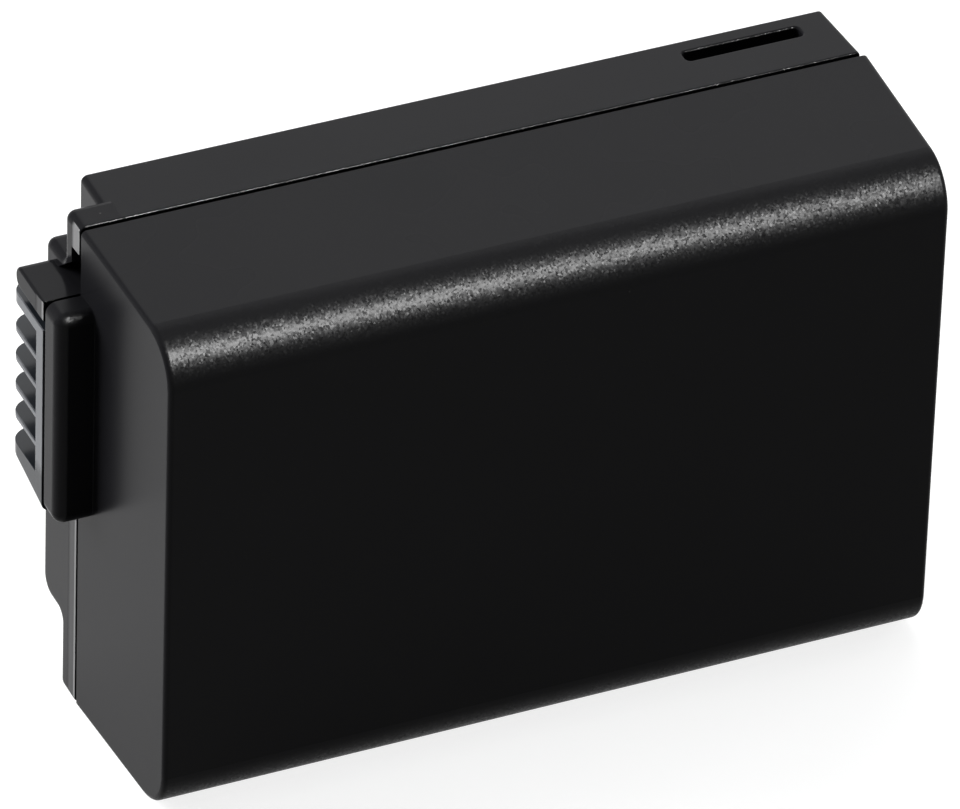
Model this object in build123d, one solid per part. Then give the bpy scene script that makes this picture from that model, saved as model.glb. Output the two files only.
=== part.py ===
"""Two-cell camera battery.

A deep front shell and a stepped rear cover meet at a seam and hold two flat cells, a protection board
and a finned terminal block. X runs along the battery with the terminals at its low end, Y runs from the
broad front face to the back, and Z is up, with the battery standing on its long narrow side. While the
pieces are made, x = 0 is the terminal end of the shell, y = 0 its seam plane and z = 0 its lower side.
"""
import math
import os

from build123d import *

# Front shell, measured at the seam plane
case_length = 53.6
case_height = 36.85
shell_depth = 13.35
draft_angle = 1.85
long_edge_radius = 3.2
end_edge_radius = 0.35
side_wall = 1.0
face_wall = 0.8

# Rear cover and the seam between the two mouldings
cover_depth = 5.8
cover_shortfall = 0.37
cover_proud = 0.08
cover_end_proud = 0.05
cover_corner_radius = 0.3
rear_edge_radius = 0.18
seam_gap = 0.3
seam_edge_radius = 0.12
rebate_wall = 0.5
rebate_depth = 0.75
weld_clearance = 0.05
seam_facet_width = 1.2
seam_facet_depth = 0.06

# Cut-back corners, key pocket and latch recess of the rear cover
lip_depth = 2.7
lip_height = 2.1
lip_corner_radius = 0.65
end_block_edge_radius = 0.6
notch_reach = 2.1
notch_wall = 0.8
notch_floor_radius = 0.5
notch_corner_radius = 0.45
upper_notch_radius = 0.75
lower_notch_z = 5.5
lower_notch_radius = 1.5
pocket_depth = 3.5
pocket_throat = 1.42
pocket_ramp_height = 1.7
pocket_height = 2.9
post_height = 0.97
latch_length = 8.1
latch_width = 1.1
latch_recess_depth = 1.1
latch_corner_radius = 0.35
latch_rim_radius = 0.15
latch_from_right = 2.45
latch_from_rear = 1.24

# Connector housing on the terminal end
connector_out = 2.42
pad_depth = 2.2
pad_set_back = 0.2
pad_rise = 0.22
pad_foot = 0.3
pad_edge_radius = 0.75
cap_depth = 4.8
cap_thickness = 1.5
cap_nose_radius = 0.7
soft_edge_radius = 0.2

# Terminal block: fins and slots
cap_gap = 0.64
block_front = 0.2
block_corner_radius = 1.4
block_bottom_rise = 1.3
block_bottom_radius = 0.6
front_bar = 1.08
slot_count = 5
slot_pitch = 2.21
fin_thickness = 0.3
top_plate_thickness = 0.72
foot_height = 2.45
neck_depth = 4.45
slot_floor_x = 1.2
flange_thickness = 0.8
flange_height = 0.7
flange_clearance = 0.25
block_clearance = 0.1

# Contacts in the slots
contact_thickness = 0.25
contact_gap = 0.7
contact_width = 2.0
contact_reach = 2.0
tail_width = 0.7
tail_clearance = 0.05
tail_past_board = 0.35

# Cells
lid_x = 6.4
cell_side_clearance = 0.22
cell_side_flat = 0.4
cell_end_clearance = 0.15
tape_thickness = 0.2
front_pad_thickness = 0.3
rear_pad_thickness = 0.6
end_cushion_thickness = 0.4
pad_margin = 4.5
terminal_length = 6.0
terminal_width = 2.6
terminal_thickness = 0.2
terminal_corner_radius = 0.8
gasket_margin = 0.5
gasket_thickness = 0.25

# Links, insulator and thermal cut-off
strip_thickness = 0.15
strip_width = 2.6
link_width = 3.5
insulator_thickness = 0.2
insulator_margin = 0.3
window_margin = 0.4
cutoff_length = 3.8

# Protection board and what is soldered to it
board_x = 3.5
board_thickness = 0.8
board_margin = 0.3
board_corner_radius = 2.6
rib_thickness = 0.7
rib_height = 1.0
rib_clearance = 0.05
chip_height = 0.9
chip_width = 3.0
chip_length = 4.4
chip_spacing = 2.2
chip_pins = 4
lead_width = 0.3
lead_reach = 0.9
lead_thickness = 0.2
component_margin = 1.2
component_gap = 0.8
small_length = 1.6
small_width = 0.8
resistor_height = 0.45
resistor_count = 6
resistor_pitch = 2.4
capacitor_height = 0.8
capacitor_count = 3
capacitor_pitch = 3.6
thermistor_spacing = 3.5

# How far a cutter runs past the face it cuts
overrun = 1.0

# Seam, pocket and connector places that follow from the sizes above
draft_slope = math.tan(math.radians(draft_angle))
cover_length = case_length - cover_shortfall
cover_height = case_height + cover_proud
middle_z = case_height / 2
pocket_roof_z = cover_height - lip_height
pocket_floor_z = pocket_roof_z - pocket_height
upper_notch_z = pocket_floor_z + post_height
behind_notch = notch_reach + notch_wall
latch_x = cover_length - latch_from_right - latch_length / 2
latch_y = cover_depth - latch_from_rear - latch_width / 2
latch_z = cover_height - latch_recess_depth
cap_bottom_z = pocket_floor_z - cap_thickness
block_top_z = cap_bottom_z - cap_gap
block_rear = cover_depth
block_back_x = side_wall + flange_clearance + flange_thickness
neck_rear = block_front + neck_depth
slot_front = block_front + front_bar
slot_height = slot_pitch - fin_thickness
slot_tops = [block_top_z - top_plate_thickness - n * slot_pitch for n in range(slot_count)]
block_bottom_z = slot_tops[-1] - slot_height - foot_height
pad_top_z = pocket_floor_z + pad_rise
pad_bottom_z = block_bottom_z + pad_foot
contact_y = (slot_front + neck_rear) / 2

# Places inside the case
board_back_x = board_x + board_thickness
shell_floor_y = face_wall - shell_depth
cover_floor_y = cover_depth - face_wall
stack_depth = cover_floor_y - shell_floor_y - front_pad_thickness - tape_thickness - rear_pad_thickness
cell_thickness = stack_depth / 2
draft_loss = -shell_floor_y * draft_slope
cell_width = case_height - 2 * (side_wall + draft_loss + cell_side_clearance)
cell_corner_radius = (cell_thickness - cell_side_flat) / 2
cell_end_x = cover_length - side_wall - end_cushion_thickness - cell_end_clearance
front_cell_y = shell_floor_y + front_pad_thickness
tape_y = front_cell_y + cell_thickness
rear_cell_y = tape_y + tape_thickness
rear_pad_y = rear_cell_y + cell_thickness
front_middle_y = front_cell_y + cell_thickness / 2
rear_middle_y = rear_cell_y + cell_thickness / 2
cell_middles = {"front": front_middle_y, "rear": rear_middle_y}

# Strips between the lids and the board
terminal_x = lid_x - gasket_thickness - terminal_thickness
strip_x = terminal_x - strip_thickness
weld_x = (lid_x - strip_thickness, lid_x)
run_x = (strip_x, terminal_x)
foot_x = (board_back_x, board_back_x + strip_thickness)
rise_x = (board_back_x, terminal_x)
pole_half = terminal_length / 2
link_top_z = middle_z - pole_half - gasket_margin - window_margin
link_z = (link_top_z - link_width, link_top_z)
positive_z = (middle_z + terminal_length, middle_z + terminal_length + link_width)
cutoff_z = (positive_z[1] + strip_thickness, positive_z[1] + strip_thickness + cutoff_length)
cutoff_x = (foot_x[1], strip_x)


def box(x, y, z):
    """Box between (low, high) limits along X, Y and Z."""
    limits = (x, y, z)
    size = [high - low for low, high in limits]
    middle = [(low + high) / 2 for low, high in limits]
    return Pos(*middle) * Box(*size)


def about(middle, size):
    """Limits of a given size about a middle."""
    return (middle - size / 2, middle + size / 2)


def drafted(x, z, start_y, depth):
    """Prism from the plane start_y that narrows with the draft, towards the front if depth is negative."""
    width = x[1] - x[0]
    height = z[1] - z[0]
    inset = abs(depth) * draft_slope
    corner = (Align.MIN, Align.MIN, Align.MIN)
    prism = Wedge(width, abs(depth), height, inset, inset, width - inset, height - inset, align=corner)
    if depth < 0:
        return Pos(x[1], start_y, z[0]) * Rot(Z=180) * prism
    return Pos(x[0], start_y, z[0]) * prism


def nearest(shape, *points):
    """The edge of a shape nearest to each point."""
    return [shape.edges().sort_by_distance(point)[0] for point in points]


def make_connector_pad():
    """Soft-edged pad that stands out of the shell's end, in front of the terminal block."""
    left = -connector_out
    y = (-pad_depth, -pad_set_back)
    pad = box((left, side_wall / 2), y, (pad_bottom_z, pad_top_z))
    middle = (left / 2, (y[0] + y[1]) / 2, (pad_bottom_z + pad_top_z) / 2)
    edges = nearest(
        pad,
        (left, y[0], middle[2]),
        (left, middle[1], pad_top_z),
        (left, middle[1], pad_bottom_z),
        (middle[0], y[0], pad_top_z),
        (middle[0], y[0], pad_bottom_z),
    )
    return fillet(edges, pad_edge_radius)


def make_front_shell():
    """Drafted tub with rounded long edges, the connector pad and grooves for the board."""
    outer = drafted((0, case_length), (0, case_height), 0, -shell_depth)
    outer = fillet(outer.edges().filter_by(Axis.X).group_by(Axis.Y)[0], long_edge_radius)
    ends = outer.faces().sort_by(Axis.X)
    edges = ends[0].edges() + ends[-1].edges()
    outer = fillet([edge for edge in edges if edge.center().Y < -rebate_depth], end_edge_radius)
    inner_x = (side_wall, case_length - side_wall)
    inner_z = (side_wall, case_height - side_wall)
    cavity = drafted(inner_x, inner_z, 0, shell_floor_y)
    cavity = fillet(cavity.edges().filter_by(Axis.X).group_by(Axis.Y)[0], long_edge_radius - side_wall)
    ribs = []
    for low_x in (board_x - rib_clearance - rib_thickness, board_back_x + rib_clearance):
        for z in ((0, side_wall + rib_height), (case_height - side_wall - rib_height, case_height)):
            ribs.append(box((low_x, low_x + rib_thickness), (shell_floor_y, -rebate_depth), z))
    rebate = box(
        (rebate_wall, case_length - rebate_wall),
        (-rebate_depth, 0),
        (rebate_wall, case_height - rebate_wall),
    )
    ribs_inside = Part() + [rib & cavity for rib in ribs]
    return outer + make_connector_pad() - cavity - rebate + ribs_inside


def make_tongue():
    """Weld tongue of the cover, which sits in the rebate of the front shell and ends on its floor."""
    outside = rebate_wall + weld_clearance
    y = (-rebate_depth, seam_gap + face_wall)
    ring = box((outside, case_length - outside), y, (outside, case_height - outside))
    return ring - box((side_wall, case_length - side_wall), y, (side_wall, case_height - side_wall))


def make_seam_facet(end_x):
    """Wedge that turns the strip beside the seam, on an end face at end_x, slightly towards the front."""
    triangle = Polyline(
        (end_x, seam_gap),
        (end_x + seam_facet_depth, seam_gap),
        (end_x, seam_gap + seam_facet_width),
        close=True,
    )
    return extrude(make_face(triangle), amount=cover_height)


def make_cap():
    """Roof of the connector housing: a plate with a rounded nose, moulded on the cover over the block."""
    outline = box((-connector_out, side_wall / 2), (seam_gap, cap_depth), (cap_bottom_z, pocket_floor_z))
    middle_x = -connector_out / 2
    nose = nearest(outline, (middle_x, cap_depth, cap_bottom_z), (middle_x, cap_depth, pocket_floor_z))
    cap = fillet(nose, cap_nose_radius)
    end_face = cap.faces().sort_by(Axis.X)[0]
    edges = [edge for edge in end_face.edges() if edge.center().Y > seam_gap + soft_edge_radius]
    return fillet(edges, soft_edge_radius) - make_seam_facet(-connector_out)


def make_cover_prism():
    """Drafted block of the cover's full height behind the cut-back end, with rounded corners, back and seam
    edge, and with the latch recess in its top side."""
    left = notch_reach
    prism = drafted((left, cover_length), (0, cover_height), seam_gap, cover_depth - seam_gap)
    middle_y = cover_depth / 2
    left_corners = nearest(prism, (left, middle_y, 0), (left, middle_y, cover_height))
    prism = fillet(left_corners, notch_corner_radius)
    right_corners = nearest(prism, (cover_length, middle_y, 0), (cover_length, middle_y, cover_height))
    prism = fillet(right_corners, cover_corner_radius)
    prism = fillet(prism.faces().sort_by(Axis.Y)[0].edges(), seam_edge_radius)
    prism = fillet(prism.faces().sort_by(Axis.Y)[-1].edges(), rear_edge_radius)
    latch = RectangleRounded(latch_length, latch_width, latch_corner_radius)
    prism -= extrude(Pos(latch_x, latch_y, latch_z) * latch, amount=latch_recess_depth + overrun)
    top = prism.faces().filter_by(GeomType.PLANE).sort_by(Axis.Z)[-1]
    return fillet(top.inner_wires()[0].edges(), latch_rim_radius)


def make_end_block():
    """Terminal end of the cover: a lip of full height at the seam, and a wall behind it that stops short
    of both corners, with the outline rounded where it turns and along its outer edge."""
    corners = {
        (lip_depth, 0): lip_corner_radius,
        (lip_depth, lower_notch_z): notch_floor_radius,
        (cover_depth, lower_notch_z): lower_notch_radius,
        (cover_depth, upper_notch_z): upper_notch_radius,
        (lip_depth, upper_notch_z): notch_floor_radius,
        (lip_depth, cover_height): lip_corner_radius,
    }
    face = make_face(Polyline((seam_gap, 0), *corners, (seam_gap, cover_height), close=True))
    for corner, radius in corners.items():
        face = fillet(face.vertices().sort_by_distance(corner)[0], radius)
    block = extrude(Plane.YZ * face, amount=behind_notch + cover_end_proud)
    block = Pos(-cover_end_proud, 0, 0) * block
    end_face = block.faces().sort_by(Axis.X)[0]
    outer_edges = [edge for edge in end_face.edges() if edge.center().Y > seam_gap + soft_edge_radius]
    block = fillet(outer_edges, end_block_edge_radius)
    seam_edges = [edge for edge in block.faces().sort_by(Axis.Y)[0].edges() if edge.center().X < notch_reach]
    return fillet(seam_edges, seam_edge_radius) - make_seam_facet(-cover_end_proud)


def make_pocket():
    """Cutter of the key pocket: wide at its floor, with a ramp at the back up to a narrow throat."""
    outline = Polyline(
        (seam_gap, pocket_floor_z),
        (pocket_depth, pocket_floor_z),
        (pocket_throat, pocket_floor_z + pocket_ramp_height),
        (pocket_throat, pocket_roof_z),
        (seam_gap, pocket_roof_z),
        close=True,
    )
    cutter = extrude(Plane.YZ * make_face(outline), amount=connector_out + notch_reach)
    return Pos(-connector_out, 0, 0) * cutter


def make_rear_cover():
    """Stepped cover with its cut-back end, the key pocket, a wall round the latch recess and the opening for
    the terminals."""
    outer = make_cover_prism() + make_end_block()
    beyond = cover_depth + overrun
    over = cover_height + overrun

    inner_x = (side_wall, cover_length - side_wall)
    inner_z = (side_wall, cover_height - side_wall)
    cavity = drafted(inner_x, inner_z, seam_gap, cover_floor_y - seam_gap)
    cavity -= box((0, behind_notch), (0, beyond), (pocket_floor_z - notch_wall, over))
    cavity -= box((0, behind_notch), (lip_depth - notch_wall, beyond), (0, lower_notch_z + notch_wall))
    latch_wall = latch_width / 2 + notch_wall
    cavity -= box(
        about(latch_x, latch_length + 2 * notch_wall),
        (latch_y - latch_wall, beyond),
        (latch_z - notch_wall, over),
    )

    pocket_front = box(
        (side_wall + block_clearance, behind_notch),
        (seam_gap - notch_wall, seam_gap),
        (pocket_floor_z - notch_wall, case_height - side_wall - block_clearance),
    )
    opening = box(
        (-connector_out, behind_notch),
        (-rebate_depth, neck_rear + block_clearance),
        (block_bottom_z - block_clearance, block_top_z + block_clearance),
    )
    return outer - cavity + make_tongue() + pocket_front - make_pocket() - opening + make_cap()


def make_terminal_block():
    """Comb of thin fins between a front bar, a top plate and a slanted foot, set in a groove of the cover's
    end wall by a narrower neck and a flange inside the case."""
    left = -connector_out
    comb_back_x = -cover_end_proud - block_clearance
    comb = box((left, comb_back_x), (block_front, block_rear), (block_bottom_z, block_top_z))
    slope = Polyline(
        (block_front, block_bottom_z),
        (block_rear, block_bottom_z + block_bottom_rise),
        (block_rear, block_bottom_z),
        close=True,
    )
    comb -= extrude(Plane.YZ * make_face(slope), amount=connector_out, dir=(-1, 0, 0))
    middle_y = (block_front + block_rear) / 2
    corner = (left, block_rear, (block_bottom_z + block_top_z) / 2)
    comb = fillet(nearest(comb, corner), block_corner_radius)
    foot_edge = (left, middle_y, block_bottom_z + block_bottom_rise / 2)
    comb = fillet(nearest(comb, foot_edge), block_bottom_radius)

    neck_y = (block_front, neck_rear)
    block = comb + box((comb_back_x, block_back_x), neck_y, (block_bottom_z, block_top_z))
    flange_x = (side_wall + flange_clearance, block_back_x)
    block += box(flange_x, neck_y, (block_bottom_z - flange_height, block_top_z + flange_height))
    for top in slot_tops:
        slot_y = (slot_front, block_rear + overrun)
        block -= box((left - overrun, slot_floor_x), slot_y, (top - slot_height, top))
        tail_y = about(contact_y, tail_width + 2 * tail_clearance)
        tail_z = about(top - slot_height / 2, contact_thickness + 2 * tail_clearance)
        block -= box((slot_floor_x, block_back_x), tail_y, tail_z)
    return block


def make_contact(slot_top):
    """Fork contact: two leaves and a back in the slot, and a tail through the block and the board."""
    middle = slot_top - slot_height / 2
    width = contact_gap + 2 * contact_thickness
    y = about(contact_y, contact_width)
    fork_x = (slot_floor_x - contact_reach, slot_floor_x)
    fork = box(fork_x, y, about(middle, width))
    fork -= box((fork_x[0], slot_floor_x - contact_thickness), y, about(middle, contact_gap))
    tail_x = (slot_floor_x, board_back_x + tail_past_board)
    return fork + box(tail_x, about(contact_y, tail_width), about(middle, contact_thickness))


def lid_plane(middle_y, x):
    """Plane across the case at x, on the middle of a cell, with its own X along Y and its own Y along Z."""
    return Plane(origin=(x, middle_y, middle_z), x_dir=(0, 1, 0), z_dir=(1, 0, 0))


def make_cell(middle_y):
    """Sealed flat can with full rounded narrow sides, one solid."""
    section = RectangleRounded(cell_thickness, cell_width, cell_corner_radius)
    return extrude(lid_plane(middle_y, lid_x) * section, amount=cell_end_x - lid_x)


def make_lid_plate(middle_y, x, margin):
    """Oblong plate on the middle of a cell's lid: the pole itself, or the gasket under it."""
    outline = RectangleRounded(terminal_width + margin, terminal_length + margin, terminal_corner_radius)
    return extrude(lid_plane(middle_y, x[0]) * outline, amount=x[1] - x[0])


def make_series_link():
    """Nickel strip from the front can to the rear pole, with an arm to the board for the middle voltage."""
    weld = box(weld_x, about(front_middle_y, strip_width), link_z)
    step_y = front_middle_y + strip_width / 2
    step = box((strip_x, lid_x), (step_y, step_y + strip_thickness), link_z)
    run = box(run_x, (step_y, rear_middle_y + strip_width / 2), link_z)
    rise = box(run_x, about(rear_middle_y, strip_width), (link_z[0], middle_z + pole_half))
    arm_y = about(tape_y, strip_width)
    arm = box(rise_x, arm_y, (link_z[0], link_z[0] + strip_thickness))
    foot = box(foot_x, arm_y, (link_z[0] - strip_width, link_z[0] + strip_thickness))
    return weld + step + run + rise + arm + foot


def make_negative_tab():
    """Nickel strip from the front pole to the board."""
    y = about(front_middle_y, strip_width)
    top = middle_z + terminal_length
    pole = box(run_x, y, (middle_z - pole_half, top))
    arm = box(rise_x, y, (top - strip_thickness, top))
    return pole + arm + box(foot_x, y, (top - strip_thickness, top + strip_width))


def make_positive_tab():
    """Nickel strip from the rear can to the outer face of the thermal cut-off."""
    y = about(rear_middle_y, strip_width)
    weld = box(weld_x, y, positive_z)
    step = box((strip_x, lid_x), y, (positive_z[1] - strip_thickness, positive_z[1]))
    return weld + step + box(run_x, y, (positive_z[1] - strip_thickness, cutoff_z[1]))


def make_thermal_cutoff():
    """Flat cut-off body between the positive tab and its own solder foot on the board."""
    body = box(cutoff_x, about(rear_middle_y, strip_width), cutoff_z)
    body = fillet(body.edges().filter_by(Axis.X), soft_edge_radius)
    return body + box(foot_x, about(rear_middle_y, strip_width / 2), (positive_z[0], cutoff_z[1]))


def make_lid_insulator():
    """Fibre sheet on both lids, with a window over each pole and each weld."""
    depth = rear_pad_y - front_cell_y - 2 * insulator_margin
    height = cell_width - 2 * insulator_margin
    x = (lid_x - insulator_thickness, lid_x)
    plane = lid_plane((front_cell_y + rear_pad_y) / 2, x[0])
    sheet = extrude(plane * RectangleRounded(depth, height, cell_corner_radius), amount=insulator_thickness)
    window = strip_width + gasket_margin + 2 * window_margin
    pole_z = about(middle_z, terminal_length + gasket_margin + 2 * window_margin)
    sheet -= box(x, about(front_middle_y, window), pole_z)
    sheet -= box(x, about(rear_middle_y, window), pole_z)
    sheet -= box(x, about(front_middle_y, window), (link_z[0] - window_margin, link_z[1] + window_margin))
    weld_window = (positive_z[0] - window_margin, positive_z[1] + window_margin)
    return sheet - box(x, about(rear_middle_y, window), weld_window)


def make_circuit_board():
    """Protection board across the case, with rounded front corners and holes for the contact tails."""
    y = (shell_floor_y + board_margin, cover_floor_y - board_margin)
    z = (side_wall + 2 * board_margin, case_height - side_wall - 2 * board_margin)
    board = box((board_x, board_back_x), y, z)
    board = fillet(board.edges().filter_by(Axis.X).group_by(Axis.Y)[0], board_corner_radius)
    for top in slot_tops:
        hole_y = about(contact_y, tail_width + 2 * tail_clearance)
        hole_z = about(top - slot_height / 2, contact_thickness + 2 * tail_clearance)
        board -= box((board_x, board_back_x), hole_y, hole_z)
    return board


def make_chip(y, z):
    """Moulded chip on the board's outer face, with a row of gull-wing leads on both long sides."""
    package_x = (board_x - chip_height, board_x - lead_thickness / 2)
    chip = box(package_x, about(y, chip_width), about(z, chip_length))
    pitch = chip_length / chip_pins
    foot_y = about(y, chip_width + 2 * lead_reach)
    for n in range(chip_pins):
        lead_z = about(z + (n - (chip_pins - 1) / 2) * pitch, lead_width)
        chip += box((board_x - lead_thickness, board_x), foot_y, lead_z)
    return chip


def make_small_parts(y, heights_z, thickness):
    """Column of equal chip components on the board's outer face."""
    x = (board_x - thickness, board_x)
    return Part() + [box(x, about(y, small_length), about(z, small_width)) for z in heights_z]


def column(count, pitch):
    """Heights of evenly spaced components about the middle of the board."""
    return [middle_z + (n - (count - 1) / 2) * pitch for n in range(count)]


# Places of the components on the board
capacitor_y = shell_floor_y + board_margin + component_margin + small_length / 2
column_step = chip_width / 2 + lead_reach + component_gap + small_length / 2
chip_y = capacitor_y + column_step
resistor_y = chip_y + column_step
chip_step = chip_length + chip_spacing
resistor_column = column(resistor_count, resistor_pitch)
capacitor_column = column(capacitor_count, capacitor_pitch)
thermistor_z = resistor_column[0] - thermistor_spacing

pieces = {
    "front_shell": make_front_shell(),
    "rear_cover": make_rear_cover(),
    "terminal_block": make_terminal_block(),
    "circuit_board": make_circuit_board(),
    "protection_chip": make_chip(chip_y, middle_z),
    "switch_transistors": Part() + [make_chip(chip_y, middle_z + way * chip_step) for way in (-1, 1)],
    "chip_resistors": make_small_parts(resistor_y, resistor_column, resistor_height),
    "chip_capacitors": make_small_parts(capacitor_y, capacitor_column, capacitor_height),
    "thermistor": make_small_parts(resistor_y, [thermistor_z], capacitor_height),
    "series_link": make_series_link(),
    "positive_tab": make_positive_tab(),
    "negative_tab": make_negative_tab(),
    "thermal_cutoff": make_thermal_cutoff(),
    "lid_insulator": make_lid_insulator(),
}
for number, top in enumerate(slot_tops, start=1):
    pieces[f"contact_{number}"] = make_contact(top)
for name, middle_y in cell_middles.items():
    pieces[f"cell_{name}"] = make_cell(middle_y)
    pieces[f"{name}_cell_gasket"] = make_lid_plate(middle_y, (lid_x - gasket_thickness, lid_x), gasket_margin)
    pieces[f"{name}_cell_terminal"] = make_lid_plate(middle_y, (terminal_x, lid_x - gasket_thickness), 0)

# Tape, foam pads and end cushion on the flat sides of the cells
flat_x = (lid_x + pad_margin, cell_end_x - pad_margin)
flat_z = about(middle_z, cell_width - 2 * pad_margin)
pieces["cell_tape"] = box(flat_x, (tape_y, rear_cell_y), flat_z)
pieces["front_pad"] = box(flat_x, (shell_floor_y, front_cell_y), flat_z)
pieces["rear_pad"] = box(flat_x, (rear_pad_y, cover_floor_y), flat_z)
cushion_x = (cell_end_x, cell_end_x + end_cushion_thickness)
pieces["end_cushion"] = box(cushion_x, about(tape_y, cell_thickness), flat_z)

# The origin is under the middle of the whole battery, on the surface it stands on
place = Pos((connector_out - case_length) / 2, (shell_depth - cover_depth) / 2, 0)
os.makedirs("parts", exist_ok=True)
for name, piece in pieces.items():
    export_step(place * piece, f"parts/{name}.step")
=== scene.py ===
"""Two-cell camera battery on a white table, dressed piece by piece in the order it is put together."""

import bpy
import numpy as np
from mathutils import Matrix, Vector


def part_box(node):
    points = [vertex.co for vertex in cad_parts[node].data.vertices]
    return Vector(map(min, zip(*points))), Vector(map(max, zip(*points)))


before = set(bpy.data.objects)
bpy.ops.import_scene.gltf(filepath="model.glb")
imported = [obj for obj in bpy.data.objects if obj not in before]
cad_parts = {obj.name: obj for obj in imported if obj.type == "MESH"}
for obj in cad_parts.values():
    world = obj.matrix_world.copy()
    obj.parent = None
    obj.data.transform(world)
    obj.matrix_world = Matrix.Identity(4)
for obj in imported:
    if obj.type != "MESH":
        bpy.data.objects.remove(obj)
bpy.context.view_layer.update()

# Cells: two flat cans, deep drawn from aluminium sheet, filled and closed by a welded lid.
# The draw leaves faint lines along the can, so its shine is a little streaked.
can_light = "#c3c6c9"
can_dark = "#a6a9ad"
draw_line_mm = 0.12
draw_length_mm = 6.0


def linear(colour):
    """Linear red, green, blue and alpha of an sRGB hex colour, by the sRGB curve."""
    srgb = np.array([int(colour[i:i + 2], 16) for i in (1, 3, 5)]) / 255
    low = srgb / 12.92
    high = ((srgb + 0.055) / 1.055) ** 2.4
    return (*np.where(srgb <= 0.04045, low, high), 1.0)


def per_mm(size):
    """Scale that gives a pattern in metres one repeat in size millimetres."""
    return 1000 / size


def add(tree, kind, inputs, **settings):
    """Adds a shader node: settings go on the node, and inputs give its sockets a value or a link."""
    node = tree.nodes.new("ShaderNode" + kind)
    for name, value in settings.items():
        setattr(node, name, value)
    for socket, value in inputs.items():
        if isinstance(value, bpy.types.NodeSocket):
            tree.links.new(value, node.inputs[socket])
        else:
            node.inputs[socket].default_value = value
    return node


def new_material(name):
    """Empty node tree of a new material, with the Object coordinates that its patterns read."""
    material = bpy.data.materials.new(name)
    material.use_nodes = True
    material.node_tree.nodes.clear()
    place = add(material.node_tree, "TexCoord", {}).outputs["Object"]
    return material, material.node_tree, place


def dress(material, surface, *names):
    """Ends a material with its surface and puts it on the named CAD nodes."""
    add(material.node_tree, "OutputMaterial", {"Surface": surface.outputs[0]})
    for name in names:
        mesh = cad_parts[name].data
        mesh.materials.clear()
        mesh.materials.append(material)


can, tree, place = new_material("drawn aluminium")
stretch = (per_mm(draw_length_mm), per_mm(draw_line_mm), per_mm(draw_line_mm))
along = add(tree, "Mapping", {"Vector": place, "Scale": stretch}).outputs["Vector"]
lines = add(tree, "TexNoise", {"Vector": along, "Scale": 1.0, "Detail": 3.0}).outputs["Fac"]
tint = add(tree, "MixRGB", {"Fac": lines, "Color1": linear(can_dark), "Color2": linear(can_light)})
shine = add(tree, "MapRange", {"Value": lines, "To Min": 0.28, "To Max": 0.46})
relief = add(tree, "Bump", {"Height": lines, "Strength": 0.4, "Distance": 2e-6})
surface = add(tree, "BsdfPrincipled", {
    "Base Color": tint.outputs["Color"],
    "Metallic": 1.0,
    "Roughness": shine.outputs["Result"],
    "Normal": relief.outputs["Normal"],
})
dress(can, surface, "cell_front", "cell_rear")

# Gaskets: dark polypropylene washers that keep each pole off its lid, pressed in by the rivet.
# Moulded and squeezed, so the surface is waxy and slightly uneven.
gasket_black = "#2b2b2d"
gasket_grey = "#38383a"
gasket_mottle_mm = 0.5

gasket, tree, place = new_material("polypropylene")
mottle = add(tree, "TexNoise", {"Vector": place, "Scale": per_mm(gasket_mottle_mm), "Detail": 2.0})
mottle = mottle.outputs["Fac"]
tint = add(tree, "MixRGB", {"Fac": mottle, "Color1": linear(gasket_black), "Color2": linear(gasket_grey)})
shine = add(tree, "MapRange", {"Value": mottle, "To Min": 0.42, "To Max": 0.56})
surface = add(tree, "BsdfPrincipled", {
    "Base Color": tint.outputs["Color"],
    "Roughness": shine.outputs["Result"],
    "IOR": 1.49,
})
dress(gasket, surface, "front_cell_gasket", "rear_cell_gasket")

# Insulator: one sheet of vulcanised fibre over both lids, punched out round the poles and the welds.
# Pressed cotton fibres show as short pale threads in a tan ground.
fibre_tan = "#b08a5c"
fibre_pale = "#c9aa80"
thread_mm = 0.12
thread_length_mm = 1.2

fibre, tree, place = new_material("vulcanised fibre")
stretch = (per_mm(thread_mm), per_mm(thread_length_mm), per_mm(thread_mm))
along = add(tree, "Mapping", {"Vector": place, "Scale": stretch}).outputs["Vector"]
threads = add(tree, "TexNoise", {"Vector": along, "Scale": 1.0, "Detail": 4.0}).outputs["Fac"]
tint = add(tree, "MixRGB", {"Fac": threads, "Color1": linear(fibre_tan), "Color2": linear(fibre_pale)})
relief = add(tree, "Bump", {"Height": threads, "Strength": 0.6, "Distance": 1e-5})
surface = add(tree, "BsdfPrincipled", {
    "Base Color": tint.outputs["Color"],
    "Roughness": 0.82,
    "Normal": relief.outputs["Normal"],
})
dress(fibre, surface, "lid_insulator")

# Poles and strips: rivets and rolled strip of nickel, spot welded to the cans and soldered to the board.
# Rolling gives fine lines along the strip, and each weld leaves a small dull dimple.
nickel_light = "#b9b4aa"
nickel_dark = "#98938a"
roll_line_mm = 0.05
roll_length_mm = 4.0
weld_pitch_mm = 1.1
weld_dimple_mm = 0.25

nickel, tree, place = new_material("rolled nickel")
stretch = (per_mm(roll_line_mm), per_mm(roll_line_mm), per_mm(roll_length_mm))
along = add(tree, "Mapping", {"Vector": place, "Scale": stretch}).outputs["Vector"]
lines = add(tree, "TexNoise", {"Vector": along, "Scale": 1.0, "Detail": 2.0}).outputs["Fac"]
welds = add(tree, "TexVoronoi", {"Vector": place, "Scale": per_mm(weld_pitch_mm), "Randomness": 0.2})
dimple = add(tree, "MapRange", {
    "Value": welds.outputs["Distance"],
    "From Min": 0.0,
    "From Max": weld_dimple_mm / weld_pitch_mm,
}, interpolation_type="SMOOTHSTEP").outputs["Result"]
tint = add(tree, "MixRGB", {"Fac": lines, "Color1": linear(nickel_dark), "Color2": linear(nickel_light)})
shine = add(tree, "MapRange", {"Value": dimple, "To Min": 0.5, "To Max": 0.3})
relief = add(tree, "Bump", {"Height": dimple, "Strength": 0.8, "Distance": 4e-5})
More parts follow.
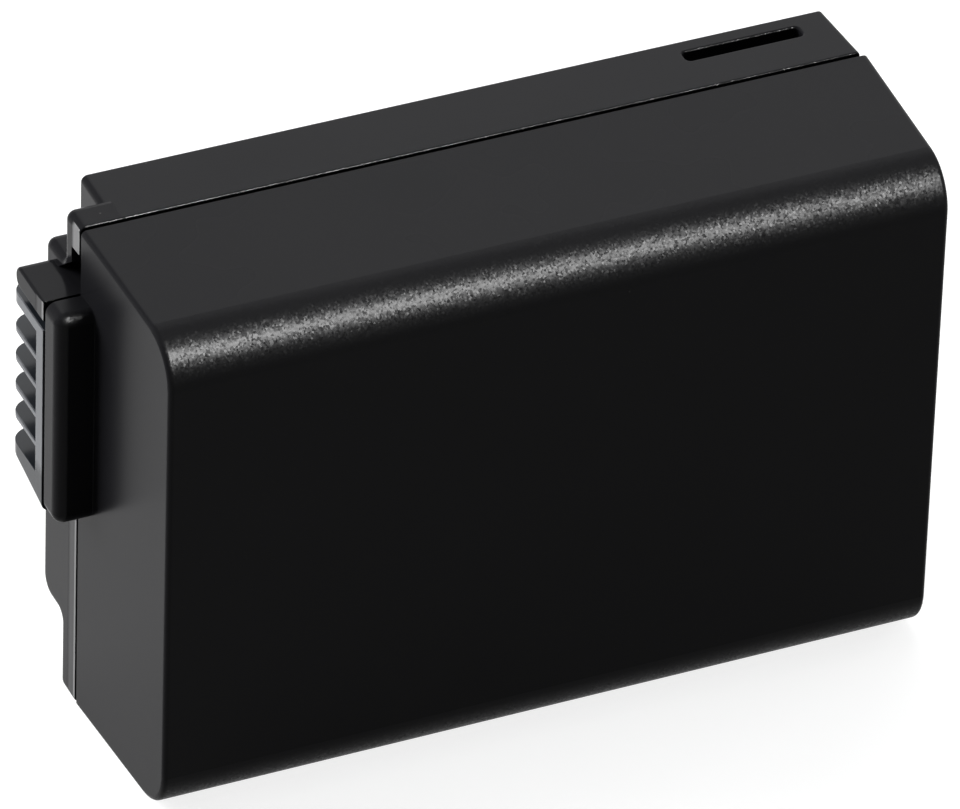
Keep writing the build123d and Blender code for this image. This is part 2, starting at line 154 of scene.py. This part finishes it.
surface = add(tree, "BsdfPrincipled", {
    "Base Color": tint.outputs["Color"],
    "Metallic": 1.0,
    "Roughness": shine.outputs["Result"],
    "Normal": relief.outputs["Normal"],
})
dress(
    nickel, surface,
    "front_cell_terminal", "rear_cell_terminal", "series_link", "positive_tab", "negative_tab",
)

# Thermal cut-off: a flat resettable breaker in a cream resin case, held by strips in the positive line.
# The resin is filled with glass beads, which give it a fine dull speckle.
resin_cream = "#c8bfa6"
resin_shade = "#b3a98f"
bead_mm = 0.1

cutoff, tree, place = new_material("cream filled resin")
beads = add(tree, "TexVoronoi", {"Vector": place, "Scale": per_mm(bead_mm)}).outputs["Distance"]
tint = add(tree, "MixRGB", {"Fac": beads, "Color1": linear(resin_shade), "Color2": linear(resin_cream)})
relief = add(tree, "Bump", {"Height": beads, "Strength": 0.3, "Distance": 5e-6})
surface = add(tree, "BsdfPrincipled", {
    "Base Color": tint.outputs["Color"],
    "Roughness": 0.6,
    "Normal": relief.outputs["Normal"],
})
dress(cutoff, surface, "thermal_cutoff")

# Protection board: glass laminate under a green solder mask, slid into grooves in front of the lids.
# Copper tracks under the mask show as paler green, with the weave of the glass between them.
mask_green = "#16492b"
track_green = "#2b6b3f"
track_pitch_mm = 2.2
weave_mm = 0.45

board, tree, place = new_material("solder mask on glass laminate")
cells = add(tree, "TexVoronoi", {
    "Vector": place,
    "Scale": per_mm(track_pitch_mm),
    "Randomness": 0.7,
}, distance="MANHATTAN", feature="F2")
track = add(tree, "MapRange", {
    "Value": cells.outputs["Distance"],
    "From Min": 0.9,
    "From Max": 0.96,
}).outputs["Result"]
weave = add(tree, "TexChecker", {"Vector": place, "Scale": per_mm(weave_mm)}).outputs["Fac"]
ground = add(tree, "MixRGB", {"Fac": track, "Color1": linear(mask_green), "Color2": linear(track_green)})
raised = add(tree, "Math", {0: track, 1: 1.0, 2: weave}, operation="MULTIPLY_ADD").outputs["Value"]
relief = add(tree, "Bump", {"Height": raised, "Strength": 0.3, "Distance": 1e-5})
surface = add(tree, "BsdfPrincipled", {
    "Base Color": ground.outputs["Color"],
    "Roughness": 0.3,
    "Normal": relief.outputs["Normal"],
})
dress(board, surface, "circuit_board")

# Chips: a protection chip and two switches, moulded in black epoxy round tinned leads, soldered on.
# The package is dull and faintly mottled, and the leads, just past its sides 1.5 mm out, are bright tin.
epoxy_black = "#262628"
epoxy_grey = "#313133"
tin = "#bfbfbd"
epoxy_mottle_mm = 0.3
lead_start = 0.001503


def past_middle(tree, place, name, distance):
    """1 further than a distance in Y from the middle of the named CAD node's box, and 0 nearer."""
    low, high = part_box(name)
    depth = add(tree, "SeparateXYZ", {"Vector": place}).outputs["Y"]
    offset = add(tree, "Math", {0: depth, 1: (low.y + high.y) / 2}, operation="SUBTRACT").outputs["Value"]
    away = add(tree, "Math", {0: offset}, operation="ABSOLUTE").outputs["Value"]
    return add(tree, "Math", {0: away, 1: distance}, operation="GREATER_THAN").outputs["Value"]


chips, tree, place = new_material("moulded epoxy with tinned leads")
mottle = add(tree, "TexNoise", {"Vector": place, "Scale": per_mm(epoxy_mottle_mm)}).outputs["Fac"]
lead = past_middle(tree, place, "protection_chip", lead_start)
moulded = {"Fac": mottle, "Color1": linear(epoxy_black), "Color2": linear(epoxy_grey)}
package = add(tree, "MixRGB", moulded).outputs["Color"]
tint = add(tree, "MixRGB", {"Fac": lead, "Color1": package, "Color2": linear(tin)})
shine = add(tree, "MapRange", {"Value": lead, "To Min": 0.62, "To Max": 0.28})
surface = add(tree, "BsdfPrincipled", {
    "Base Color": tint.outputs["Color"],
    "Metallic": lead,
    "Roughness": shine.outputs["Result"],
})
dress(chips, surface, "protection_chip", "switch_transistors")

# Small parts: resistors, capacitors and the thermistor, fired ceramic blocks with a tin dip at each end.
# The ceramic is warm brown and matt, and the ends are bright.
ceramic_brown = "#8a7560"
ceramic_dark = "#75614d"
ceramic_grain_mm = 0.08
bare_half_length = 0.0005

for name, material_name in (
    ("chip_resistors", "resistor ceramic"),
    ("chip_capacitors", "capacitor ceramic"),
    ("thermistor", "thermistor ceramic"),
):
    ceramic, tree, place = new_material(material_name)
    grain = add(tree, "TexNoise", {"Vector": place, "Scale": per_mm(ceramic_grain_mm)}).outputs["Fac"]
    end = past_middle(tree, place, name, bare_half_length)
    fired = {"Fac": grain, "Color1": linear(ceramic_dark), "Color2": linear(ceramic_brown)}
    body = add(tree, "MixRGB", fired).outputs["Color"]
    tint = add(tree, "MixRGB", {"Fac": end, "Color1": body, "Color2": linear(tin)})
    shine = add(tree, "MapRange", {"Value": end, "To Min": 0.7, "To Max": 0.3})
    surface = add(tree, "BsdfPrincipled", {
        "Base Color": tint.outputs["Color"],
        "Metallic": end,
        "Roughness": shine.outputs["Result"],
    })
    dress(ceramic, surface, name)

# Contacts: forks bent from copper alloy strip and gold plated, pushed into the block and soldered behind.
# Thin plating over rolled strip is bright, with fine lines along the fork.
gold_light = "#e0b866"
gold_dark = "#c49a4c"
plating_line_mm = 0.06
plating_length_mm = 2.0

contact, tree, place = new_material("gold-plated copper alloy")
stretch = (per_mm(plating_length_mm), per_mm(plating_line_mm), per_mm(plating_line_mm))
along = add(tree, "Mapping", {"Vector": place, "Scale": stretch}).outputs["Vector"]
lines = add(tree, "TexNoise", {"Vector": along, "Scale": 1.0, "Detail": 2.0}).outputs["Fac"]
tint = add(tree, "MixRGB", {"Fac": lines, "Color1": linear(gold_dark), "Color2": linear(gold_light)})
shine = add(tree, "MapRange", {"Value": lines, "To Min": 0.22, "To Max": 0.36})
surface = add(tree, "BsdfPrincipled", {
    "Base Color": tint.outputs["Color"],
    "Metallic": 1.0,
    "Roughness": shine.outputs["Result"],
})
dress(contact, surface, "contact_1", "contact_2", "contact_3", "contact_4", "contact_5")

# Terminal block: a comb of thin fins in dark grey, glass-filled polyester, set in the cover's end wall.
# It comes from a polished mould, so it is smoother than the case, with faint flow marks along the fins.
# The end face of its front bar carries a painted highlight: its colour is made pale.
block_dark = "#1a1d21"
block_light = "#23262b"
block_painted_highlight = "#5c5e62"
bar_end_x = -0.0279
bar_foot_z = 0.0185
bar_fade_mm = 1.0
fin_edge_mm = 0.06
flow_mm = 0.35
flow_length_mm = 2.5

block, tree, place = new_material("glass-filled polyester")
stretch = (per_mm(flow_length_mm), per_mm(flow_length_mm), per_mm(flow_mm))
along = add(tree, "Mapping", {"Vector": place, "Scale": stretch}).outputs["Vector"]
flow = add(tree, "TexNoise", {"Vector": along, "Scale": 1.0, "Detail": 3.0}).outputs["Fac"]
tint = add(tree, "MixRGB", {"Fac": flow, "Color1": linear(block_dark), "Color2": linear(block_light)})
spot = add(tree, "SeparateXYZ", {"Vector": place}).outputs
# Painted highlight: left of bar_end_x and fading in above bar_foot_z, the bar's end face is mixed to a
# pale grey.
end_for_painted_highlight = add(tree, "Math", {0: spot["X"], 1: bar_end_x}, operation="LESS_THAN").outputs["Value"]
above_foot = add(tree, "MapRange", {
    "Value": spot["Z"],
    "From Min": bar_foot_z,
    "From Max": bar_foot_z + bar_fade_mm / 1000,
}).outputs["Result"]
painted_highlight = add(tree, "Math", {0: above_foot, 1: end_for_painted_highlight}, operation="MULTIPLY").outputs["Value"]
tint = add(tree, "MixRGB", {"Fac": painted_highlight, "Color1": tint.outputs["Color"], "Color2": linear(block_painted_highlight)})
shine = add(tree, "MapRange", {"Value": flow, "To Min": 0.14, "To Max": 0.22})
edges = add(tree, "Bevel", {"Radius": fin_edge_mm / 1000}, samples=8).outputs["Normal"]
relief = add(tree, "Bump", {"Height": flow, "Strength": 0.2, "Distance": 4e-6, "Normal": edges})
surface = add(tree, "BsdfPrincipled", {
    "Base Color": tint.outputs["Color"],
    "Roughness": shine.outputs["Result"],
    "IOR": 1.5,
    "Specular IOR Level": 0.12,
    "Normal": relief.outputs["Normal"],
})
dress(block, surface, "terminal_block")

# Tape, pads and cushion: double-sided tape between the cells and die-cut foam that stops them rattling.
# Tape is a creased paper white, and foam shows its closed cells as fine pits.
tape_white = "#e2dfd6"
tape_shade = "#d2cec2"
crease_mm = 1.5
foam_grey = "#3a3a3b"
foam_pit = "#232324"
foam_cell_mm = 0.18

tape, tree, place = new_material("tissue tape")
creases = add(tree, "TexNoise", {"Vector": place, "Scale": per_mm(crease_mm), "Detail": 6.0})
creases = creases.outputs["Fac"]
tint = add(tree, "MixRGB", {"Fac": creases, "Color1": linear(tape_shade), "Color2": linear(tape_white)})
relief = add(tree, "Bump", {"Height": creases, "Strength": 0.5, "Distance": 2e-5})
surface = add(tree, "BsdfPrincipled", {
    "Base Color": tint.outputs["Color"],
    "Roughness": 0.75,
    "Normal": relief.outputs["Normal"],
})
dress(tape, surface, "cell_tape")

foam, tree, place = new_material("closed-cell foam")
pits = add(tree, "TexVoronoi", {"Vector": place, "Scale": per_mm(foam_cell_mm)}).outputs["Distance"]
tint = add(tree, "MixRGB", {"Fac": pits, "Color1": linear(foam_pit), "Color2": linear(foam_grey)})
relief = add(tree, "Bump", {"Height": pits, "Strength": 0.8, "Distance": 6e-5})
surface = add(tree, "BsdfPrincipled", {
    "Base Color": tint.outputs["Color"],
    "Roughness": 0.9,
    "Normal": relief.outputs["Normal"],
})
dress(foam, surface, "front_pad", "rear_pad", "end_cushion")

# Front shell: a deep tub of black ABS blend, from a mould that spark erosion left with a fine grain.
# The grain is too small to see on the flats, but it glitters where the rounded long edge catches a lamp.
# It is drawn at more than twice the real 0.05 mm, so that it shows.
shell_black = "#121214"
shell_worn = "#171719"
shell_roughness = 0.26
shell_edge_roughness = 0.38
shell_tilt = 0.14
shell_gloss = 0.042
grain_mm = 0.13
rounded_turn = 0.25
shine_change = 0.04
sink_mm = 9.0
edge_mm = 0.06
dust_pitch_mm = 4.5
dust_mm = 0.07
dust_grey = "#3e3e3d"


def slow_change(tree, place):
    """Soft noise as wide as the sink marks of a thin wall."""
    sinks = add(tree, "TexNoise", {"Vector": place, "Scale": per_mm(sink_mm), "Detail": 2.0})
    return sinks.outputs["Fac"]


def case_tone(tree, place, colours):
    """Colour of black plastic: a slow change of tone, with rare specks of dust."""
    slow = slow_change(tree, place)
    dark, light = [linear(colour) for colour in colours]
    tone = add(tree, "MixRGB", {"Fac": slow, "Color1": dark, "Color2": light}).outputs["Color"]
    specks = add(tree, "TexVoronoi", {"Vector": place, "Scale": per_mm(dust_pitch_mm)})
    near = add(tree, "Math", {
        0: specks.outputs["Distance"],
        1: dust_mm / dust_pitch_mm,
    }, operation="LESS_THAN").outputs["Value"]
    tint = add(tree, "MixRGB", {"Fac": near, "Color1": tone, "Color2": linear(dust_grey)})
    return tint.outputs["Color"]


def case_surface(tree, place, tone, roughness, edge_roughness, grain_tilt, gloss):
    """Black plastic with a grain of small facets, polished off the flats and full on the long edges.
    The turn is the product of the normal's Y and Z: 0 on the flats and 1/2 halfway round a long edge.
    A facet leans by the turn times the cube of a random number within 1/2, so most lie nearly flat and
    a few lean a lot, and 16 makes grain_tilt the largest lean. From rounded_turn on, the edge is rough."""
    facets = add(tree, "TexVoronoi", {"Vector": place, "Scale": per_mm(grain_mm)}).outputs["Color"]
    lean = add(tree, "VectorMath", {0: facets, 1: (0.5, 0.5, 0.5)}, operation="SUBTRACT").outputs[0]
    squared = add(tree, "VectorMath", {0: lean, 1: lean}, operation="MULTIPLY").outputs[0]
    cubed = add(tree, "VectorMath", {0: squared, 1: lean}, operation="MULTIPLY").outputs[0]
    normal = add(tree, "NewGeometry", {}).outputs["Normal"]
    faces = add(tree, "SeparateXYZ", {"Vector": normal}).outputs
    turn = add(tree, "Math", {0: faces["Y"], 1: faces["Z"]}, operation="MULTIPLY").outputs["Value"]
    turn = add(tree, "Math", {0: turn}, operation="ABSOLUTE").outputs["Value"]
    most = add(tree, "Math", {0: turn, 1: 16 * grain_tilt}, operation="MULTIPLY").outputs["Value"]
    grain = add(tree, "VectorMath", {0: cubed, "Scale": most}, operation="SCALE").outputs[0]
    edges = add(tree, "Bevel", {"Radius": edge_mm / 1000}, samples=4).outputs["Normal"]
    leaning = add(tree, "VectorMath", {0: grain, 1: edges}, operation="ADD").outputs[0]
    facing = add(tree, "VectorMath", {0: leaning}, operation="NORMALIZE").outputs[0]
    smoothest = add(tree, "MapRange", {
        "Value": turn,
        "From Max": rounded_turn,
        "To Min": roughness - shine_change / 2,
        "To Max": edge_roughness - shine_change / 2,
    }).outputs["Result"]
    slow = slow_change(tree, place)
    shine = add(tree, "Math", {0: slow, 1: shine_change, 2: smoothest}, operation="MULTIPLY_ADD")
    return add(tree, "BsdfPrincipled", {
        "Base Color": tone,
        "Roughness": shine.outputs["Value"],
        "IOR": 1.5,
        "Specular IOR Level": gloss,
        "Normal": facing,
    })


shell, tree, place = new_material("black ABS blend, spark-eroded")
tone = case_tone(tree, place, (shell_black, shell_worn))
surface = case_surface(tree, place, tone, shell_roughness, shell_edge_roughness, shell_tilt, shell_gloss)
dress(shell, surface, "front_shell")

# Rear cover: a shallow lid in the same black plastic, welded to the tub along the seam.
# It is a little smoother, and at the terminal end a strip and a thin line along its rim are painted pale,
# a painted highlight of the rim's facet and edge, brightest on the lip.
cover_black = "#131315"
cover_worn = "#18181a"
cover_roughness = 0.16
cover_edge_roughness = 0.2
cover_tilt = 0.06
cover_gloss = 0.036
rim_painted_highlight_grey = "#7c7c7d"
rim_y = 0.004075
lip_z = 0.0347
strip_mm = 1.25
strip_fade_mm = 0.5
line_mm = 0.34
line_fade_mm = 0.15
strip_share = 0.27
lip_share = 0.9
end_facing = -0.8

cover, tree, place = new_material("black ABS blend, satin")
tone = case_tone(tree, place, (cover_black, cover_worn))
spot = add(tree, "SeparateXYZ", {"Vector": place}).outputs
on_lip = add(tree, "Math", {0: spot["Z"], 1: lip_z}, operation="GREATER_THAN").outputs["Value"]
share = add(tree, "MapRange", {"Value": on_lip, "To Min": strip_share, "To Max": lip_share})
# Painted highlight: on faces that face the terminal end, a strip within strip_mm behind the rim and a full
# line within line_mm of it are mixed to pale grey, the strip stronger on the lip above lip_z.
strip = add(tree, "MapRange", {
    "Value": spot["Y"],
    "From Min": rim_y + strip_mm / 1000,
    "From Max": rim_y + (strip_mm - strip_fade_mm) / 1000,
    "To Max": share.outputs["Result"],
}, interpolation_type="SMOOTHSTEP").outputs["Result"]
line = add(tree, "MapRange", {
    "Value": spot["Y"],
    "From Min": rim_y + line_mm / 1000,
    "From Max": rim_y + (line_mm - line_fade_mm) / 1000,
}, interpolation_type="SMOOTHSTEP").outputs["Result"]
painted_highlight = add(tree, "Math", {0: strip, 1: line}, operation="MAXIMUM").outputs["Value"]
normal = add(tree, "NewGeometry", {}).outputs["Normal"]
outward = add(tree, "SeparateXYZ", {"Vector": normal}).outputs["X"]
end_for_painted_highlight = add(tree, "Math", {0: outward, 1: end_facing}, operation="LESS_THAN").outputs["Value"]
painted_highlight = add(tree, "Math", {0: painted_highlight, 1: end_for_painted_highlight}, operation="MULTIPLY").outputs["Value"]
tint = add(tree, "MixRGB", {"Fac": painted_highlight, "Color1": tone, "Color2": linear(rim_painted_highlight_grey)}).outputs["Color"]
surface = case_surface(tree, place, tint, cover_roughness, cover_edge_roughness, cover_tilt, cover_gloss)
dress(cover, surface, "rear_cover")

# Table: a wide sheet of white paper under the battery, which keeps a light shadow.
# Rays that show it see white, also far out where the lamps fade, and other rays see a mid grey.
table_half = 3.0
paper_grey = "#606060"
shown_white = 0.84
lit_reach = 0.2
white_reach = 0.7
shadow_share = 0.3

corners = np.array([(-1, -1, 0), (1, -1, 0), (1, 1, 0), (-1, 1, 0)]) * table_half
table_mesh = bpy.data.meshes.new("table")
table_mesh.from_pydata(corners.tolist(), [], [(0, 1, 2, 3)])
table = bpy.data.objects.new("table", table_mesh)
bpy.context.scene.collection.objects.link(table)


def showing_rays(tree):
    """1 for rays from the camera, off a glossy surface or through glass, and 0 for all others."""
    rays = add(tree, "LightPath", {}).outputs
    direct = add(tree, "Math", {0: rays["Is Camera Ray"], 1: rays["Is Glossy Ray"]}, operation="MAXIMUM")
    direct = direct.outputs["Value"]
    showing = add(tree, "Math", {0: direct, 1: rays["Is Transmission Ray"]}, operation="MAXIMUM")
    return showing.outputs["Value"]


paper, tree, place = new_material("white paper")
shows = showing_rays(tree)
plain = add(tree, "BsdfDiffuse", {"Color": linear(paper_grey)})
reach = add(tree, "VectorMath", {0: place}, operation="LENGTH").outputs["Value"]
strength = add(tree, "MapRange", {
    "Value": reach,
    "From Min": lit_reach,
    "From Max": white_reach,
    "To Min": shown_white,
    "To Max": 1.0,
}).outputs["Result"]
glow = add(tree, "Emission", {"Color": (1.0, 1.0, 1.0, 1.0), "Strength": strength})
shade = add(tree, "BsdfDiffuse", {"Color": (shadow_share, shadow_share, shadow_share, 1.0)})
white = add(tree, "AddShader", {0: glow.outputs[0], 1: shade.outputs[0]})
seen = add(tree, "MixShader", {0: shows, 1: plain.outputs[0], 2: white.outputs[0]})
add(tree, "OutputMaterial", {"Surface": seen.outputs[0]})
table_mesh.materials.append(paper)

# Room: a studio with white walls, which the eye and the reflections see as plain white.
# Everything else gets only a weak fill from them, so the lamps shape the battery.
fill_strength = 0.06

world = bpy.data.worlds.new("white room")
bpy.context.scene.world = world
world.use_nodes = True
tree = world.node_tree
tree.nodes.clear()
shows = showing_rays(tree)
strength = add(tree, "MapRange", {"Value": shows, "To Min": fill_strength, "To Max": 1.0})
sky = add(tree, "Background", {"Color": (1.0, 1.0, 1.0, 1.0), "Strength": strength.outputs["Result"]})
add(tree, "OutputWorld", {"Surface": sky.outputs[0]})

# Lamps: three soft boxes overhead and at both ends for plain light, a panel behind for the top to mirror,
# and a small box in front that only gives the glitter along the rounded edge.
battery_middle = (0, 0, 0.018)
soft_distance = 0.95
soft_size = (0.6, 0.6)


def hang_lamp(name, away, distance, size, power):
    """Area lamp at a distance along a direction from the battery's middle, turned to face it."""
    lamp = bpy.data.lights.new(name, "AREA")
    lamp.shape = "RECTANGLE"
    lamp.size = size[0]
    lamp.size_y = size[1]
    lamp.energy = power
    hung = bpy.data.objects.new(name, lamp)
    back = np.array(away) / np.linalg.norm(away)
    side = np.cross((0, 0, 1), back)
    side = side / np.linalg.norm(side)
    turned = np.eye(4)
    turned[:3, :3] = np.column_stack((side, np.cross(back, side), back))
    turned[:3, 3] = back * distance + battery_middle
    hung.matrix_world = Matrix(turned.tolist())
    hung.visible_camera = False
    bpy.context.scene.collection.objects.link(hung)
    return hung


for name, away, power in (
    ("lamp overhead", (0.1, 0.25, 0.95), 4.5),
    ("lamp on the left", (-0.75, 0.52, 0.41), 16.0),
    ("lamp on the right", (0.9, 0.1, 0.42), 4.0),
):
    plain_lamp = hang_lamp(name, away, soft_distance, soft_size, power)
    plain_lamp.visible_glossy = False
hang_lamp("panel behind", (0.339, 0.735, 0.587), 1.0, (0.9, 0.75), 3.5)
front_lamp = hang_lamp("small box in front", (0.2, -0.645, 0.69), 0.75, (0.16, 0.16), 58.0)
front_lamp.visible_diffuse = False

# Camera: a long lens above the front left corner, with everything in focus.
# Its place and turn were found from the case's edges in the photograph.
right = (0.91597374, -0.40023836, 0.02830845)
down = (-0.21396267, -0.54691561, -0.80938451)
forward = (0.33942906, 0.73531801, -0.58659641)
eye_place = (-0.25702, -0.557105, 0.46385)
focal_pixels = 12020.8
picture_width = 960
sensor_mm = 36.0

eye = bpy.data.cameras.new("camera")
eye.sensor_fit = "HORIZONTAL"
eye.sensor_width = sensor_mm
eye.lens = sensor_mm * focal_pixels / picture_width
camera = bpy.data.objects.new("camera", eye)
turned = np.eye(4)
turned[:3, :3] = np.column_stack((right, -np.array(down), -np.array(forward)))
turned[:3, 3] = eye_place
camera.matrix_world = Matrix(turned.tolist())
bpy.context.scene.collection.objects.link(camera)
bpy.context.scene.camera = camera
bpy.context.scene.view_settings.view_transform = "Standard"
